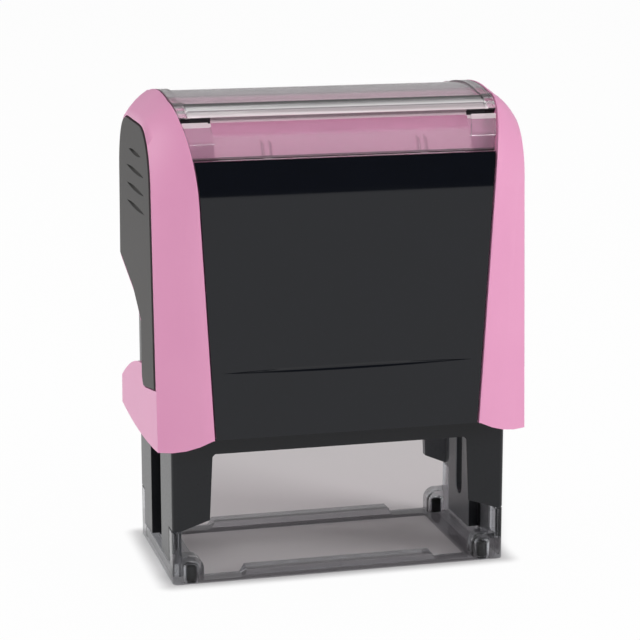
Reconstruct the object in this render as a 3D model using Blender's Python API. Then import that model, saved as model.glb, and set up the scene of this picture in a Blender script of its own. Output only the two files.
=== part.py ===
"""Self-inking office stamp.

A sprung cap slides down over a frame and takes a die carrier with it. On the way down the carrier
turns over, from an ink pad above it to the paper below. X runs across the imprint, -Y is the front,
Z is up, and the origin is on the floor under the middle of the stamp.
"""
from math import asin, cos, hypot, pi, sin

import bmesh
import bpy
from mathutils import Matrix, Vector

MM = 0.001

# Clearances
FIT = 0.3 * MM
RUNNING_GAP = 0.6 * MM
SWING_GAP = 1.5 * MM
CORNER_ROOM = 0.5 * MM
OVERCUT = 3.0 * MM

# Fineness of the curves
ARCH_STEPS = 16
CROWN_STEPS = 4
ROUND_STEPS = 8
PANEL_STEPS = 8
GROOVE_STEPS = 4
POINTS_PER_TURN = 10

# Rubber die and its carrier
IMPRINT_WIDTH = 47.0 * MM
IMPRINT_DEPTH = 18.0 * MM
DIE_REACH = 10.0 * MM
DIE_THICKNESS = 1.5 * MM
DIE_RELIEF = 0.6 * MM
DIE_BARS = 4
DIE_BAR_WIDTH = 1.6 * MM
DIE_BORDER = 2.0 * MM
CUSHION_THICKNESS = 1.2 * MM
CUSHION_MARGIN = 0.25 * MM
CARRIER_MARGIN = 1.0 * MM
CARRIER_EDGE = 0.5 * MM
CARRIER_PLATE = 1.5 * MM
CARRIER_LIP = 2.7 * MM
SPINE_RADIUS = 4.0 * MM
HUB_RADIUS = 3.6 * MM
HUB_LENGTH = 3.5 * MM
AXLE_RADIUS = 1.5 * MM
STROKE = 22.5 * MM
PAPER_GAP = 0.2 * MM
PAD_GAP = 0.5 * MM

# Ink cartridge
TRAY_HEIGHT = 7.3 * MM
TRAY_ROOF = 1.6 * MM
TRAY_SIDE = 3.2 * MM
PAD_MARGIN_X = 0.8 * MM
PAD_MARGIN_Y = 2.2 * MM
HANDLE_WIDTH = 28.0 * MM
HANDLE_REACH = 1.5 * MM
HANDLE_INSET = 1.0 * MM
TRAY_BACK_INSET = 0.1 * MM

# Frame
FRAME_WALL = 1.6 * MM
FRAME_CORNER = 1.0 * MM
LEDGE_THICKNESS = 1.5 * MM
LEDGE_CLEAR = 0.5 * MM
DECK_THICKNESS = 1.5 * MM
LEG_GAP_MARGIN = 1.5 * MM
LEG_GAP_TAPER = 0.6 * MM
OPENING_TOP = 24.6 * MM
OPENING_CORNER = 0.5 * MM
REAR_OPENING_EXTRA = 1.15 * MM
LEG_END = 10.25 * MM
LEG_END_RISE = 1.85 * MM
LEG_END_FLAT = 1.5 * MM
STRIP_END = 3.4 * MM
GROOVE_WIDTH = 10.0 * MM
GROOVE_FLOOR = 1.2 * MM
CATCH_WIDTH = 10.0 * MM
CATCH_REACH = 1.05 * MM
CATCH_HEIGHT = 1.6 * MM

# Clear foot
COLUMN_DEPTH = 4.1 * MM
FOOT_PLATE = 0.6 * MM
FOOT_SIDE_MARGIN = 2.2 * MM
RAIL_DEPTH = 3.55 * MM
BAND_LENGTH = 38.0 * MM
BAND_HEIGHT = 2.1 * MM
TICK_WIDTH = 0.5 * MM
TICK_DEPTH = 0.4 * MM
BOSS_WIDTH = 4.2 * MM
BOSS_HEIGHT = 5.1 * MM
BOSS_ROUND = 2.2 * MM
BOSS_SETBACK = 0.2 * MM
PAD_FOOT_RADIUS = 1.25 * MM
PAD_FOOT_HEIGHT = 3.6 * MM
PAD_FOOT_DOME = 0.6

# Yoke and return spring
ARM_THICKNESS = 1.8 * MM
ARM_PLAY = 0.4 * MM
YOKE_PLATE = 1.5 * MM
SPRING_SEAT_MARGIN = 1.2 * MM
SPRING_RADIUS = 5.6 * MM
WIRE_RADIUS = 0.45 * MM
SPRING_TURNS = 6.5
SPRING_END_PITCH = 1.5 * MM
SPRING_BOSS_HEIGHT = 2.5 * MM

# Cap
CAP_WALL = 2.4 * MM
CAP_TOP = 88.7 * MM
FLOOR_GAP = 2.9 * MM
FRONT_ROOM = 2.25 * MM
FRONT_WALL = 1.4 * MM
ARCH_RISE = 16.7 * MM
ARCH_RUN = 13.0 * MM
TOP_CROWN = 1.0 * MM
SIDE_TOP_DROP = 3.8 * MM
SIDE_ARCH_RUN = 10.6 * MM
SIDE_ARCH_POWER = 2.3
BAND_WIDE = 9.7 * MM
BAND_SHOULDER = 7.3 * MM
BAND_NARROW = 4.4 * MM
BAND_DROP_LOW = 2.85 * MM
BAND_DROP_HIGH = 5.5 * MM
BAND_CROWN = 0.35 * MM
BAND_SHARES = (0.25, 0.5, 0.75)
EDGE_LIP = 0.25 * MM
SKIRT_CURVE = 1.0 * MM
SKIRT_BULGE = 0.75 * MM
FRONT_SKIRT_RISE = 3.25 * MM
BRIDGE_THICKNESS = 1.6 * MM
CAVITY_EDGE = 10.5 * MM

# Front and rear panels
PANEL_THICKNESS = 1.2 * MM
PANEL_RECESS = 0.3 * MM
PANEL_TOP_DROP = 9.25 * MM
CREASE_HEIGHT = 15.55 * MM
CREASE_HALF_LENGTH = 23.85 * MM
CREASE_HALF_HEIGHT = 0.49 * MM
CREASE_DEPTH = 0.18 * MM
REAR_PANEL_RISE = 1.1 * MM

# Side grips and the opening at the back
GRIP_DEPTH = 1.3 * MM
GRIP_PROUD = 0.3 * MM
GRIP_INSET = 0.8 * MM
GRIP_RIM = 1.1 * MM
GRIP_END = 12.4 * MM
GRIP_END_SLOPE = 0.17
GRIP_CORNER = 2.6 * MM
GROOVES = 4
GROOVE_PITCH = 3.35 * MM
GROOVE_HALF_LENGTH = 9.0 * MM
TOP_GROOVE_HALF_LENGTH = 6.2 * MM
GROOVE_MIDDLE = -1.8 * MM
GROOVE_HALF_HEIGHT = 0.45 * MM
GROOVE_CUT = 0.5 * MM
GROOVE_RUN_OUT = 0.15
GROOVE_END_SHARE = 0.97
TOP_GROOVE_DROP = 6.3 * MM
BAR_HEIGHT = 6.6 * MM
ACCESS_HEADROOM = 5.5 * MM
ACCESS_FRONT = 4.3 * MM
ACCESS_KNEE = 2.2 * MM
ACCESS_SLOPE = 0.3
ACCESS_FRONT_FALL = 4.4 * MM
ACCESS_FRONT_LOW = 14.0 * MM
BAR_TOP_POWER = 1.7

# Clear cover and card
WINDOW_STEP = 0.3 * MM
WINDOW_THICKNESS = 1.2 * MM
WINDOW_RIB = 1.9 * MM
APRON_DROP = 2.25 * MM
APRON_LEDGE_DROP = 1.1 * MM
APRON_EDGE_DROP = 0.35 * MM
APRON_EDGE_DEPTH = 0.2 * MM
APRON_GROOVE = 0.25 * MM
SKIRT_DEPTH = 0.65 * MM
FLANGE_DROP = 4.35 * MM
FLANGE_DEPTH = 0.45 * MM
HOOK_WIDTH = 4.7 * MM
HOOK_SLOT = 0.6 * MM
HOOK_SLOT_DEPTH = 1.4 * MM
HOOK_DROP = 6.5 * MM
HOOK_FOOT_DEPTH = 0.7 * MM
SKIRT_RIB_X = 14.5 * MM
SKIRT_RIB_WIDTH = 1.4 * MM
SKIRT_RIB_DEPTH = 0.2 * MM
STEP_BLEND = 0.08 * MM
CARD_THICKNESS = 0.3 * MM
CARD_MARGIN_X = 2.4 * MM
CARD_MARGIN_Y = 0.5 * MM
CARD_CORNER = 1.5 * MM

# Lock button
BUTTON_WIDTH = 7.4 * MM
BUTTON_HEIGHT = 3.0 * MM
BUTTON_FLANGE = 0.5 * MM
BUTTON_FLANGE_MARGIN = 0.8 * MM
BUTTON_RECESS = 0.1 * MM

# Places that follow from the sizes
carrier_half_width = IMPRINT_WIDTH / 2 + CARRIER_MARGIN
carrier_half_depth = IMPRINT_DEPTH / 2 + CARRIER_EDGE
hub_end = carrier_half_width + HUB_LENGTH
chamber_half_width = hub_end + ARM_PLAY
groove_floor_x = chamber_half_width + GROOVE_FLOOR
arm_inner_x = groove_floor_x + FIT
arm_outer_x = arm_inner_x + ARM_THICKNESS
frame_half_width = arm_outer_x + FIT
swing_radius = hypot(IMPRINT_DEPTH / 2, DIE_REACH)
chamber_half_depth = swing_radius + SWING_GAP
frame_half_depth = chamber_half_depth + FRAME_WALL
leg_gap_half = IMPRINT_WIDTH / 2 + LEG_GAP_MARGIN
axle_height = PAPER_GAP + DIE_REACH + STROKE
pad_height = axle_height + DIE_REACH + PAD_GAP
ledge_top = pad_height - FIT
throat_half = carrier_half_width + LEDGE_CLEAR
tray_half_width = IMPRINT_WIDTH / 2 + PAD_MARGIN_X + FIT + TRAY_SIDE
tray_top = pad_height + TRAY_HEIGHT
tray_front = -(chamber_half_depth - FIT)
tray_back = frame_half_depth - TRAY_BACK_INSET
frame_top = tray_top + FIT + DECK_THICKNESS
arm_half_depth = GROOVE_WIDTH / 2 - ARM_PLAY
cap_bottom = STROKE + FLOOR_GAP
skirt_corner = cap_bottom + SKIRT_CURVE
cap_half_width = frame_half_width + RUNNING_GAP + CAP_WALL
cavity_half_width = frame_half_width + RUNNING_GAP
cavity_half_depth = frame_half_depth + FRONT_ROOM
panel_floor = PANEL_RECESS + PANEL_THICKNESS + FIT
cap_half_depth = cavity_half_depth + FRONT_WALL + panel_floor
top_half_depth = cap_half_depth - ARCH_RUN
arch_start = CAP_TOP - ARCH_RISE
side_top = CAP_TOP - SIDE_TOP_DROP
window_floor = WINDOW_STEP + WINDOW_THICKNESS + CARD_THICKNESS + 2 * FIT
ceiling = CAP_TOP - window_floor - BRIDGE_THICKNESS
yoke_top = ceiling - FIT
yoke_underside = yoke_top - YOKE_PLATE
panel_top = CAP_TOP - PANEL_TOP_DROP
panel_bottom = cap_bottom + FRONT_SKIRT_RISE
boss_radius = SPRING_RADIUS - WIRE_RADIUS - FIT
button_height = (skirt_corner + cap_bottom + BAR_HEIGHT) / 2


def finish(obj, colour, roughness, metallic=0.0, alpha=1.0, smooth_angle=0.6):
    """Give a finished piece its own material and smooth shading with crisp edges."""
    material = bpy.data.materials.new(obj.name)
    material.use_nodes = True
    shader = material.node_tree.nodes["Principled BSDF"]
    shader.inputs["Base Color"].default_value = (*colour, 1.0)
    shader.inputs["Roughness"].default_value = roughness
    shader.inputs["Metallic"].default_value = metallic
    shader.inputs["Alpha"].default_value = alpha
    obj.data.materials.clear()
    obj.data.materials.append(material)
    obj.data.shade_smooth()
    obj.data.set_sharp_from_angle(angle=smooth_angle)
    return obj


def closed_object(name, mesh_builder):
    """Turn a bmesh of one closed form into an object with its faces pointing out."""
    bmesh.ops.recalc_face_normals(mesh_builder, faces=mesh_builder.faces)
    mesh = bpy.data.meshes.new(name)
    mesh_builder.to_mesh(mesh)
    mesh_builder.free()
    obj = bpy.data.objects.new(name, mesh)
    bpy.context.collection.objects.link(obj)
    return obj


def loft(name, loops):
    """Skin a row of closed loops that have the same number of points, and cap both ends."""
    builder = bmesh.new()
    rings = [[builder.verts.new(point) for point in loop] for loop in loops]
    count = len(rings[0])
    for ring, following in zip(rings, rings[1:]):
        for index in range(count):
            after = (index + 1) % count
            builder.faces.new((ring[index], ring[after], following[after], following[index]))
    builder.faces.new(rings[0])
    builder.faces.new(rings[-1])
    return closed_object(name, builder)


def prism(name, outline, axis, low, high):
    """Extrude a flat outline along one axis; the outline holds the other two axes in X, Y, Z order."""
    place = {
        "X": lambda u, v, along: (along, u, v),
        "Y": lambda u, v, along: (u, along, v),
        "Z": lambda u, v, along: (u, v, along),
    }[axis]
    return loft(name, [[place(u, v, along) for u, v in outline] for along in (low, high)])


def block(name, low, high):
    """Rectangular block between two corners."""
    outline = [(low[0], low[1]), (high[0], low[1]), (high[0], high[1]), (low[0], high[1])]
    return prism(name, outline, "Z", low[2], high[2])


def turned(name, profile, axis, centre, sides=24):
    """Turn a profile of (along, radius) pairs about an axis through centre."""
    loops = []
    for along, radius in profile:
        ring = []
        for index in range(sides):
            angle = 2 * pi * index / sides
            across = (radius * cos(angle), radius * sin(angle))
            offset = (along, *across) if axis == "X" else (*across, along)
            ring.append(Vector(centre) + Vector(offset))
        loops.append(ring)
    return loft(name, loops)


def rounded_box(half_x, half_y, radius, steps=4):
    """Outline of a rectangle about the origin with round corners."""
    outline = []
    for quarter, (sign_x, sign_y) in enumerate([(1, 1), (-1, 1), (-1, -1), (1, -1)]):
        for step in range(steps + 1):
            angle = pi / 2 * (quarter + step / steps)
            x = sign_x * (half_x - radius) + radius * cos(angle)
            y = sign_y * (half_y - radius) + radius * sin(angle)
            outline.append((x, y))
    return outline


def mirrored(half):
    """Close a half outline, listed from its middle out, by its mirror image about the second axis."""
    return half + [(-u, v) for u, v in reversed(half)]


def combine(target, tool, operation):
    """Apply a Boolean of target and tool, and remove the tool."""
    modifier = target.modifiers.new(operation, "BOOLEAN")
    modifier.operation = operation
    modifier.object = tool
    modifier.solver = "EXACT"
    bpy.context.view_layer.update()
    evaluated = target.evaluated_get(bpy.context.evaluated_depsgraph_get())
    result = bpy.data.meshes.new_from_object(evaluated)
    target.modifiers.clear()
    target.data = result
    bpy.data.objects.remove(tool)


def cut(target, tool):
    combine(target, tool, "DIFFERENCE")


def add(target, tool):
    combine(target, tool, "UNION")


def hang(obj, pivot):
    """Hang a piece that was modelled in place on a pivot, so that its origin lies on the joint."""
    pivot_place = pivots[pivot.name]
    obj.data.transform(Matrix.Translation(-pivot_place))
    obj.parent = pivot


def make_pivot(name, place, parent=None):
    """Empty on a joint; everything that moves with the joint hangs on it."""
    pivot = bpy.data.objects.new(name, None)
    bpy.context.collection.objects.link(pivot)
    pivots[name] = Vector(place)
    if parent:
        pivot.parent = parent
        pivot.location = pivots[name] - pivots[parent.name]
    else:
        pivot.location = pivots[name]
    return pivot


def side_depth(height):
    """Half depth of the cap's flat side below its rounded shoulder."""
    low = cap_half_depth - BAND_DROP_LOW
    high = cap_half_depth - BAND_DROP_HIGH
    return low + (high - low) * (height - cap_bottom) / (arch_start - cap_bottom)


def edge_half_width(height):
    """Half width between the two inner edges of the chamfered bands: straight, then curving out."""
    low = cap_half_width - BAND_WIDE
    shoulder = cap_half_width - BAND_SHOULDER
    crown = cap_half_width - BAND_NARROW
    lean = (shoulder - low) / (arch_start - panel_bottom)
    straight = shoulder + lean * (height - arch_start)
    share = min(1.0, max(0.0, height - arch_start) / ARCH_RISE)
    return straight + (crown - shoulder - lean * ARCH_RISE) * share ** 2


def arch(half_depth, start, run, rise, power=2.0, crown=0.0):
    """Half of an arch from its shoulder to the middle of its top, as (depth, height) pairs."""
    points = []
    for step in range(ARCH_STEPS + 1):
        turn = pi / 2 * step / ARCH_STEPS
        depth = half_depth - run + run * max(cos(turn), 0.0) ** (2 / power)
        points.append((depth, start + rise * sin(turn) ** (2 / power)))
    for step in range(1, CROWN_STEPS + 1):
        share = 1 - step / CROWN_STEPS
        points.append(((half_depth - run) * share, start + rise + crown * (1 - share ** 2)))
    return points


def side_arch(inset):
    """Rounded shoulder of the cap's flat side, drawn in by inset."""
    half_depth = side_depth(arch_start) - inset
    rise = side_top - arch_start - inset
    return arch(half_depth, arch_start, SIDE_ARCH_RUN - inset, rise, SIDE_ARCH_POWER)


def ring_of(half, width_at, bottom_height):
    """Closed loop across the cap: front half outline, its mirror image at the back, and the bottom."""
    front = [(width_at(height), -depth, height) for depth, height in half]
    back = [(width_at(height), depth, height) for depth, height in reversed(half[:-1])]
    reach = half[0][0]
    bottom = []
    for step in range(1, ARCH_STEPS):
        y = reach * (1 - 2 * step / ARCH_STEPS)
        bottom.append((width_at(half[0][1]), y, bottom_height(y)))
    return front + back + bottom


def flipped(ring):
    return [(-x, y, z) for x, y, z in ring]


def crowned(outer, inner, share):
    """Loop part of the way between two loops, raised by the crown of the band between them."""
    count = len(outer)
    crown = BAND_CROWN * 4 * share * (1 - share)
    loop = []
    for index in range(count):
        a, b = Vector(outer[index]), Vector(inner[index])
        along = Vector(outer[(index + 1) % count]) - Vector(outer[index - 1])
        normal = along.cross(b - a).normalized()
        place = a.lerp(b, share)
        if normal.dot(place - Vector((0, 0, arch_start))) < 0:
            normal = -normal
        loop.append(place + normal * crown)
    loop[0] = front_corner(outer[0], inner[0], share, crown)
    return loop


def front_corner(outer, inner, share, crown):
    """Lower front corner of the band: level from its outer edge, then curving up to its inner edge."""
    corner = Vector(outer).lerp(Vector(inner), share)
    sag = SKIRT_BULGE * 4 * share * (1 - share)
    return corner - Vector((0, crown, sag))


def edge_station(height, side):
    """Point, outward normal and half width of the band's inner edge; side is -1 in front, 1 behind."""
    if height <= arch_start:
        return (side * cap_half_depth, height, side, 0.0, edge_half_width(height))
    turn = asin(min(1.0, (height - arch_start) / ARCH_RISE))
    depth = cap_half_depth - ARCH_RUN + ARCH_RUN * cos(turn)
    across = cos(turn) / ARCH_RUN
    up = sin(turn) / ARCH_RISE
    size = hypot(across, up)
    return (side * depth, height, side * across / size, up / size, edge_half_width(height))


def crown_station(y):
    """The same for a place on the crowned top, between the front arch and the rear one."""
    share = y / top_half_depth
    height = CAP_TOP + TOP_CROWN * (1 - share ** 2)
    lean = 2 * TOP_CROWN * share / top_half_depth
    size = hypot(lean, 1.0)
    return (y, height, lean / size, 1 / size, edge_half_width(height))


def over_the_top(heights):
    """Stations at these heights in front, across the crowned top, and down again behind."""
    front = [edge_station(height, -1) for height in heights]
    rear = [edge_station(height, 1) for height in heights]
    last = 2 * CROWN_STEPS
    top = [crown_station(top_half_depth * (2 * step / last - 1)) for step in range(1, last)]
    return front + top + rear[::-1]


def edge_heights(low, high, steps):
    """Heights between two places on the edge, evenly turned round the arch."""
    turn_low = asin(min(1.0, max(0.0, (low - arch_start) / ARCH_RISE)))
    turn_high = asin(min(1.0, max(0.0, (high - arch_start) / ARCH_RISE)))
    heights = [low] if low < arch_start else []
    for step in range(steps + 1):
        turn = turn_low + (turn_high - turn_low) * step / steps
        heights.append(arch_start + ARCH_RISE * sin(turn))
    return heights


def curved_sheet(name, rows):
    """Closed sheet over rows of (station, columns); a column is (x, outer depth, inner depth)."""
    builder = bmesh.new()
    outer = []
    inner = []
    for (y, z, across, up, _), columns in rows:
        outer.append([builder.verts.new((x, y - across * top, z - up * top)) for x, top, _ in columns])
        inner.append([builder.verts.new((x, y - across * low, z - up * low)) for x, _, low in columns])
    last = len(rows) - 1
    side = len(rows[0][1]) - 1
    for row in range(last):
        for column in range(side):
            for grid in (outer, inner):
                builder.faces.new((grid[row][column], grid[row][column + 1],
                                   grid[row + 1][column + 1], grid[row + 1][column]))
        for column in (0, side):
            builder.faces.new((outer[row][column], outer[row + 1][column],
                               inner[row + 1][column], inner[row][column]))
    for row in (0, last):
        for column in range(side):
            builder.faces.new((outer[row][column], outer[row][column + 1],
                               inner[row][column + 1], inner[row][column]))
    return closed_object(name, builder)


def plain_rows(stations, inset, top, low):
    """Rows of a sheet of even depth that stops short of the band's edge by inset."""
    rows = []
    for station in stations:
        half = station[4] - inset
        rows.append((station, [(-half, top, low), (half, top, low)]))
    return rows


def slot_outline(radius, low, high):
    """Upright slot with round ends about two centres, as (across, height) pairs."""
    outline = []
    for centre, start in ((high, 0.0), (low, pi)):
        for step in range(ROUND_STEPS + 1):
            angle = start + pi * step / ROUND_STEPS
            outline.append((radius * cos(angle), centre + radius * sin(angle)))
    return outline


def leg_opening(half_width):
    """Half outline of the opening between two legs, from its top edge down and round a leg's end."""
    top = half_width - LEG_GAP_TAPER
    beyond = frame_half_width + OVERCUT
    return [
        (top - OPENING_CORNER, OPENING_TOP),
        (top, OPENING_TOP - OPENING_CORNER),
        (half_width, LEG_END + LEG_END_RISE),
        (frame_half_width - LEG_END_FLAT, LEG_END),
        (beyond, LEG_END),
        (beyond, STRIP_END - OVERCUT),
    ]


def make_frame():
    """Inner frame: two legs under a chamber for the carrier, a bay for the cartridge and a deck."""
    outline = rounded_box(frame_half_width, frame_half_depth, FRAME_CORNER)
    frame = prism("frame", outline, "Z", STRIP_END, frame_top)
    groove_half = GROOVE_WIDTH / 2
    waist = groove_half + GROOVE_FLOOR
    wide = frame_half_width - FRAME_WALL
    below = STRIP_END - OVERCUT
    half_plan = [
        (wide, -chamber_half_depth), (wide, -waist), (chamber_half_width, -waist),
        (chamber_half_width, waist), (wide, waist), (wide, chamber_half_depth),
    ]
    plan = mirrored(half_plan)
    ledge_underside = ledge_top - LEDGE_THICKNESS
    cut(frame, prism("chamber", plan, "Z", below, ledge_underside))
    throat_low = (-throat_half, -chamber_half_depth, ledge_underside - FIT)
    cut(frame, block("throat", throat_low, (throat_half, chamber_half_depth, ledge_top + FIT)))
    bay_half = tray_half_width + FIT
    bay_low = (-bay_half, -chamber_half_depth, ledge_top)
    cut(frame, block("bay", bay_low, (bay_half, frame_half_depth + OVERCUT, tray_top + FIT)))
    slot = slot_outline(AXLE_RADIUS + ARM_PLAY, axle_height - STROKE, axle_height)
    for side in (-1, 1):
        ends = sorted((side * groove_floor_x, side * (frame_half_width + OVERCUT)))
        groove_low = (ends[0], -groove_half, below)
        cut(frame, block("groove", groove_low, (ends[1], groove_half, frame_top + OVERCUT)))
        ends = sorted((side * (chamber_half_width - FIT), side * (groove_floor_x + FIT)))
        cut(frame, prism("axle_slot", slot, "X", *ends))
    column = frame_half_depth - COLUMN_DEPTH
    beyond = frame_half_depth + OVERCUT
    cut(frame, prism("front_opening", mirrored(leg_opening(leg_gap_half)), "Y", -beyond, -column))
    rear_half = leg_gap_half + REAR_OPENING_EXTRA
    cut(frame, prism("rear_opening", mirrored(leg_opening(rear_half)), "Y", column, beyond))
    boss_profile = [(-DECK_THICKNESS / 2, boss_radius), (SPRING_BOSS_HEIGHT, boss_radius)]
    add(frame, turned("spring_boss", boss_profile, "Z", (0, 0, frame_top)))
    catch_low = (-CATCH_WIDTH / 2, frame_half_depth - FRAME_WALL / 2, OPENING_TOP + FIT)
    catch_high = (CATCH_WIDTH / 2, frame_half_depth + CATCH_REACH, OPENING_TOP + FIT + CATCH_HEIGHT)
    add(frame, block("lock_catch", catch_low, catch_high))
    return finish(frame, (0.031, 0.034, 0.037), 0.35)


def make_base_foot():
    """Clear foot ring: low side walls with corner columns, thin rails with raised bands, foot bosses."""
    outline = rounded_box(frame_half_width, frame_half_depth, FRAME_CORNER)
    foot = prism("base_foot", outline, "Z", 0.0, LEG_END - FIT)
    inner = frame_half_width - FRAME_WALL
    above = LEG_END + OVERCUT
    beyond = frame_half_depth + OVERCUT
    cut(foot, block("channel", (-inner, -beyond, FOOT_PLATE), (inner, beyond, above)))
    column = frame_half_depth - COLUMN_DEPTH + FIT
    wide = frame_half_width + OVERCUT
    cut(foot, block("side_step", (-wide, -column, STRIP_END - FIT), (wide, column, above)))
    hole_x = carrier_half_width + CARRIER_MARGIN
    hole_y = frame_half_depth - RAIL_DEPTH
    cut(foot, block("print_opening", (-hole_x, -hole_y, -OVERCUT), (hole_x, hole_y, FOOT_PLATE + OVERCUT)))
    band_half = [(BAND_LENGTH / 2 - BAND_HEIGHT / 2, BAND_HEIGHT), (BAND_LENGTH / 2, FOOT_PLATE / 2)]
    for side in (-1, 1):
        ends = sorted((side * hole_y, side * frame_half_depth))
        add(foot, prism("band", mirrored(band_half), "Y", *ends))
    tick_y = frame_half_depth - TICK_DEPTH
    tick_low = (-TICK_WIDTH / 2, -beyond, FOOT_PLATE)
    cut(foot, block("centre_tick", tick_low, (TICK_WIDTH / 2, -tick_y, BAND_HEIGHT + OVERCUT)))
    for side_x, side_y in foot_corners:
        boss_out = inner + FRAME_WALL / 2
        boss_in = inner - BOSS_WIDTH
        boss = [(boss_out, FOOT_PLATE / 2), (boss_out, BOSS_HEIGHT)]
        for step in range(ROUND_STEPS + 1):
            turn = pi / 2 * step / ROUND_STEPS
            x = boss_in + BOSS_ROUND * (1 - sin(turn))
            boss.append((x, BOSS_HEIGHT - BOSS_ROUND * (1 - cos(turn))))
        boss.append((boss_in, FOOT_PLATE / 2))
        outline = [(side_x * x, z) for x, z in boss]
        ends = sorted((side_y * column, side_y * (frame_half_depth - BOSS_SETBACK)))
        add(foot, prism("foot_boss", outline, "Y", *ends))
    for side_x, side_y in foot_corners:
        hole = foot_profile(PAD_FOOT_RADIUS + FIT, PAD_FOOT_HEIGHT + FIT, -OVERCUT)
        cut(foot, turned("foot_hole", hole, "Z", foot_centre(side_x, side_y), 16))
    return finish(foot, (0.30, 0.29, 0.30), 0.1, alpha=0.45)


def foot_centre(side_x, side_y):
    """Middle of a corner boss on the floor."""
    x = frame_half_width - FRAME_WALL - BOSS_WIDTH / 2
    y = frame_half_depth - (COLUMN_DEPTH - FIT + BOSS_SETBACK) / 2
    return (side_x * x, side_y * y, 0.0)


def foot_profile(radius, height, start):
    """Post with a domed end, as (height, radius) pairs."""
    dome = radius * PAD_FOOT_DOME
    profile = [(start, radius)]
    for step in range(ROUND_STEPS):
        turn = pi / 2 * step / ROUND_STEPS
        profile.append((height - dome + dome * sin(turn), radius * cos(turn)))
    return profile


def make_rubber_foot(name, side_x, side_y):
    profile = foot_profile(PAD_FOOT_RADIUS, PAD_FOOT_HEIGHT, 0.0)
    foot = turned(name, profile, "Z", foot_centre(side_x, side_y), 16)
    return finish(foot, (0.012, 0.012, 0.013), 0.7)


def make_return_spring():
    """Coil spring with close end turns, from the deck to the yoke; prints its least gap to itself."""
    low = frame_top + FIT + WIRE_RADIUS
    high = yoke_underside - FIT - WIRE_RADIUS
    open_turns = SPRING_TURNS - 2
    open_pitch = (high - low - 2 * SPRING_END_PITCH) / open_turns
    count = int(SPRING_TURNS * POINTS_PER_TURN) + 1
    points = []
    for index in range(count):
        turn = index / POINTS_PER_TURN
        close = min(turn, 1.0) + max(turn - 1.0 - open_turns, 0.0)
        wide = min(max(turn - 1.0, 0.0), open_turns)
        angle = 2 * pi * turn
        height = low + close * SPRING_END_PITCH + wide * open_pitch
        points.append(Vector((SPRING_RADIUS * cos(angle), SPRING_RADIUS * sin(angle), height)))
    half_turn = POINTS_PER_TURN // 2
    least = min((a - b).length for i, a in enumerate(points) for b in points[i + half_turn:])
    print("return_spring least gap to itself: %.2f mm" % ((least - 2 * WIRE_RADIUS) / MM))
    curve = bpy.data.curves.new("return_spring", "CURVE")
    curve.dimensions = "3D"
    curve.bevel_depth = WIRE_RADIUS
    curve.bevel_resolution = 1
    curve.use_fill_caps = True
    spline = curve.splines.new("POLY")
    spline.points.add(count - 1)
    for point, place in zip(spline.points, points):
        point.co = (*place, 1.0)
    guide = bpy.data.objects.new("return_spring_guide", curve)
    bpy.context.collection.objects.link(guide)
    bpy.context.view_layer.update()
    evaluated = guide.evaluated_get(bpy.context.evaluated_depsgraph_get())
    mesh = bpy.data.meshes.new_from_object(evaluated)
    bpy.data.objects.remove(guide)
    spring = bpy.data.objects.new("return_spring", mesh)
    bpy.context.collection.objects.link(spring)
    builder = bmesh.new()
    builder.from_mesh(mesh)
    bmesh.ops.remove_doubles(builder, verts=builder.verts, dist=WIRE_RADIUS / 1000)
    bmesh.ops.recalc_face_normals(builder, faces=builder.faces)
    builder.to_mesh(mesh)
    builder.free()
    return finish(spring, (0.55, 0.56, 0.58), 0.3, metallic=1.0, smooth_angle=1.2)


def access_outline(grow):
    """Side view of the opening at the back of the cap, let out by grow."""
    front = -ACCESS_FRONT - grow
    beyond = cap_half_depth + OVERCUT
    back_top = tray_top + ACCESS_HEADROOM + grow
    side_back = side_depth(back_top)
    knee_height = back_top - ACCESS_SLOPE * (side_back - ACCESS_KNEE)
    bar_top = cap_bottom + BAR_HEIGHT - grow
    bar_end = side_depth(bar_top)
    front_low = cap_bottom + ACCESS_FRONT_LOW - grow
    outline = [
        (front, front_low),
        (front, knee_height - ACCESS_FRONT_FALL),
        (ACCESS_KNEE, knee_height),
        (beyond, back_top + ACCESS_SLOPE * (beyond - side_back)),
        (beyond, bar_top),
    ]
    for step in range(ROUND_STEPS):
        share = 1 - step / ROUND_STEPS
        y = front + (bar_end - front) * share
        outline.append((y, front_low - (front_low - bar_top) * share ** BAR_TOP_POWER))
    return outline


def grip_form(name, side, inset, rim, depth_low, depth_high):
    """Side plate within the rim of the cap's flat side, in front of and above the opening at the back."""
    end_height = cap_bottom + GRIP_END + inset - GRIP_INSET
    half = [(side_depth(end_height) - inset, end_height)] + side_arch(inset)
    outline = [(-depth, height) for depth, height in half]
    outline += [(depth, height) for depth, height in reversed(half[:-1])]
    front_corner, back_corner = outline[0], outline[-1]
    fall = GRIP_END_SLOPE * (back_corner[0] - front_corner[0])
    outline[-1] = (back_corner[0], back_corner[1] - fall)
    ends = sorted((side * (cap_half_width - depth_low), side * (cap_half_width - depth_high)))
    form = prism(name, outline, "X", *ends)
    high_front, knee, back_top = access_outline(rim)[1:4]
    front = high_front[0]
    turn_height = end_height - GRIP_END_SLOPE * (front - front_corner[0])
    corner = [(front - GRIP_CORNER, cap_bottom)]
    for step in range(ROUND_STEPS + 1):
        turn = pi / 2 * step / ROUND_STEPS
        y = front - GRIP_CORNER * (1 - sin(turn))
        corner.append((y, turn_height + GRIP_CORNER * (1 - cos(turn))))
    behind = corner + [high_front, knee, back_top, (back_top[0], cap_bottom)]
    wide = cap_half_width + OVERCUT
    cut(form, prism("behind_grip", behind, "X", -wide, wide))
    return form


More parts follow.
